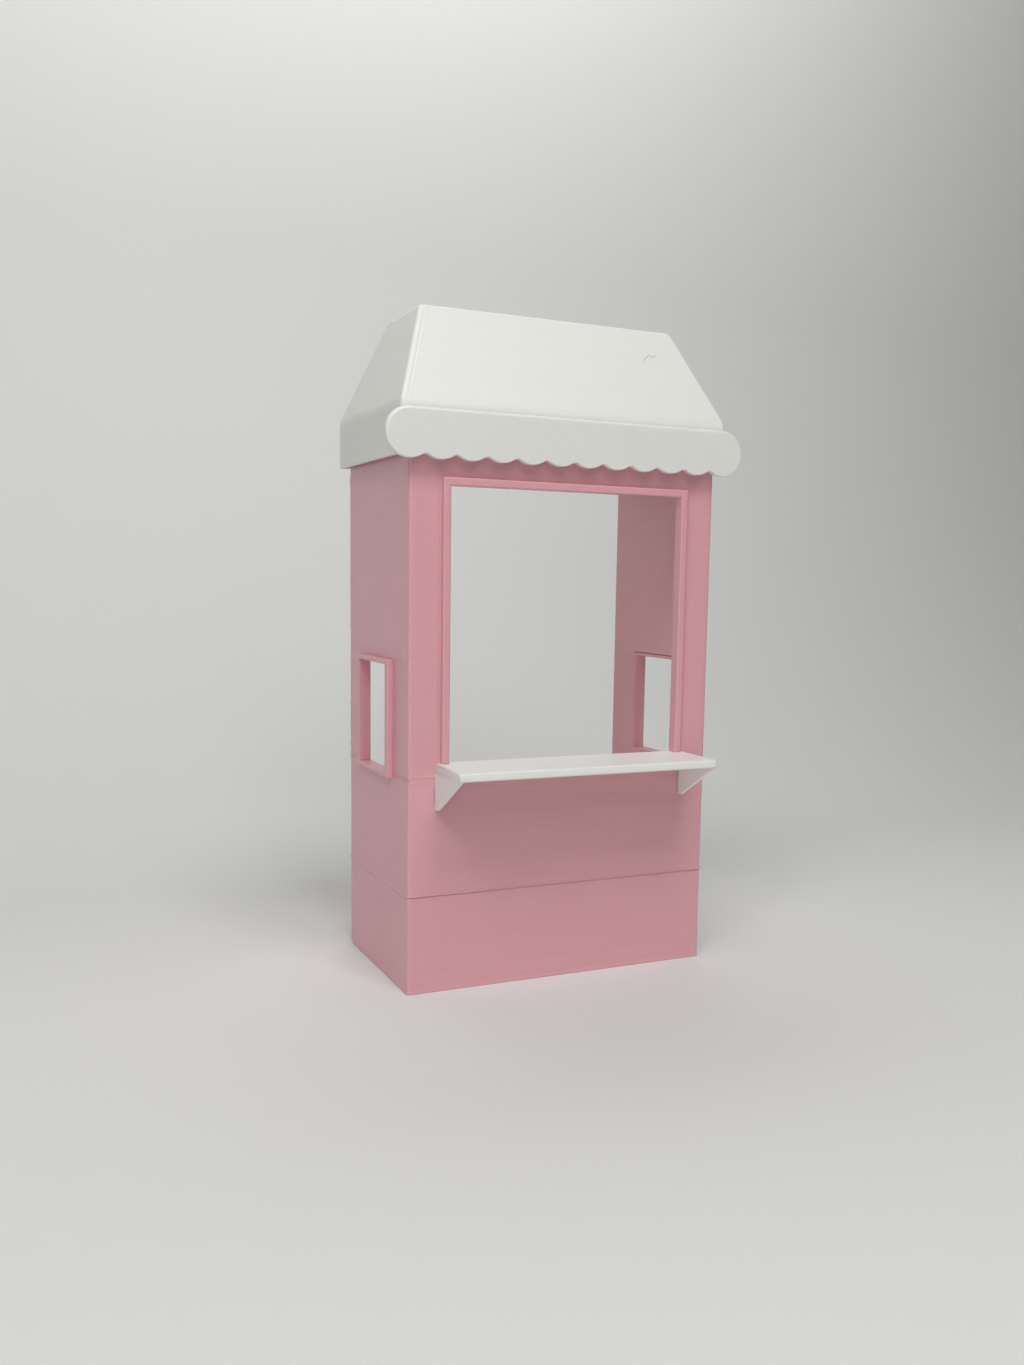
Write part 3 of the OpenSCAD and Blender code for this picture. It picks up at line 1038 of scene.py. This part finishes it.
lower_depth = strip("MULTIPLY_ADD", strip("SUBTRACT", notch_depth, disc_depth), in_notch, disc_depth)
is_upper = strip("GREATER_THAN", grid_place["Y"], 0.0)
whole_depth = strip("ADD", given["Radius"], lower_depth)
drop = strip("MULTIPLY_ADD", whole_depth, is_upper, strip("MULTIPLY", lower_depth, -1.0))
strip_z = strip("MULTIPLY_ADD", strip("COSINE", turn), drop, given["Middle height"])
strip_place = place_node(
    valance_tree, "ShaderNodeCombineXYZ", {"X": strip_x, "Y": given["Back"], "Z": strip_z}
)
outline = place_node(
    valance_tree, "GeometryNodeSetPosition", {"Geometry": grid["Mesh"], "Position": strip_place["Vector"]}
)
thick = place_node(valance_tree, "GeometryNodeExtrudeMesh", {
    "Mesh": outline["Geometry"],
    "Offset": (0, -1, 0),
    "Offset Scale": given["Thickness"],
    "Individual": False,
})
back = place_node(valance_tree, "GeometryNodeFlipFaces", {"Mesh": outline["Geometry"]})
strip_sides = valance_tree.nodes.new("GeometryNodeJoinGeometry")
for part in (thick["Mesh"], back["Mesh"]):
    valance_tree.links.new(part, strip_sides.inputs[0])
closed = place_node(
    valance_tree, "GeometryNodeMergeByDistance",
    {"Geometry": strip_sides.outputs["Geometry"], "Distance": MERGE},
)
peg_points = place_node(
    valance_tree, "GeometryNodeMeshLine",
    {"Count": given["Pegs"], "Start Location": given["First peg"], "Offset": given["Peg pitch"]},
    mode="OFFSET",
)
peg = place_node(
    valance_tree, "GeometryNodeMeshCylinder",
    {"Vertices": ROUND_SIDES, "Radius": given["Peg radius"], "Depth": given["Peg length"]},
)
peg_row = place_node(
    valance_tree, "GeometryNodeInstanceOnPoints",
    {"Points": peg_points["Mesh"], "Instance": peg["Mesh"], "Rotation": ON_EDGE},
)
strip_and_pegs = valance_tree.nodes.new("GeometryNodeJoinGeometry")
for part in (closed["Geometry"], peg_row["Instances"]):
    valance_tree.links.new(part, strip_and_pegs.inputs[0])
whole = place_node(
    valance_tree, "GeometryNodeRealizeInstances", {"Geometry": strip_and_pegs.outputs["Geometry"]}
)
coated = place_node(
    valance_tree, "GeometryNodeSetMaterial", {"Geometry": whole["Geometry"], "Material": given["Plastic"]}
)
valance_tree.links.new(coated["Geometry"], out)

white_valance, shader = flat_plastic("white_valance", WHITE, (0, 1, 0), (DIAGONAL, 0, DIAGONAL), 0.42)
see_through_edge(shader, *WHITE_GLOW)

valance_low, valance_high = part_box("roof_valance")
SCALLOPS = 12
COLUMNS = 481
NOTCH_RADIUS = 1.0 * MM
PEG_STEP = 3
PEG_RADIUS = 0.8 * MM
PEG_LENGTH = 0.8 * MM
PEG_ROOT = 0.2 * MM
BACK_EDGE = 0.06 * MM
RIM_LOWEST = 0.18
RIM_GAIN = 0.42
scallop_radius = (valance_high.z - valance_low.z) / 2
scallop_z = valance_low.z + scallop_radius
pitch = (valance_high.x - valance_low.x - 2 * scallop_radius) / (SCALLOPS - 1)
first_x = valance_low.x + scallop_radius
valance = grow("roof_valance_printed", valance_tree, {
    "Columns": COLUMNS,
    "Scallops": SCALLOPS,
    "Pitch": pitch,
    "Radius": scallop_radius,
    "Notch radius": NOTCH_RADIUS,
    "Thickness": roof_low.y - valance_low.y,
    "Back": roof_low.y,
    "Middle height": scallop_z,
    "Pegs": SCALLOPS // PEG_STEP,
    "Peg pitch": (pitch * PEG_STEP, 0, 0),
    "First peg": (first_x + pitch, roof_low.y + (PEG_LENGTH - PEG_ROOT) / 2, scallop_z),
    "Peg radius": PEG_RADIUS,
    "Peg length": PEG_LENGTH + PEG_ROOT,
    "Plastic": white_valance,
})
edit(valance, join_flat_faces)


def valance_radii(middle, along):
    """A round front rim, rounder at the top than round the scallops; notches and pegs stay sharp."""
    if abs(along.y) > STRAIGHT:
        return 0.0
    if middle.y > valance_low.y + TOUCHING:
        return 0.0 if middle.y > roof_low.y + TOUCHING else BACK_EDGE
    height = (middle.z - valance_low.z) / (2 * scallop_radius)
    return (RIM_LOWEST + RIM_GAIN * min(max(height, 0), 1)) * MM


round_edges(valance, valance_radii, 5)
hand_over(valance, white_valance, "roof", "white_plastic", "roof_valance")
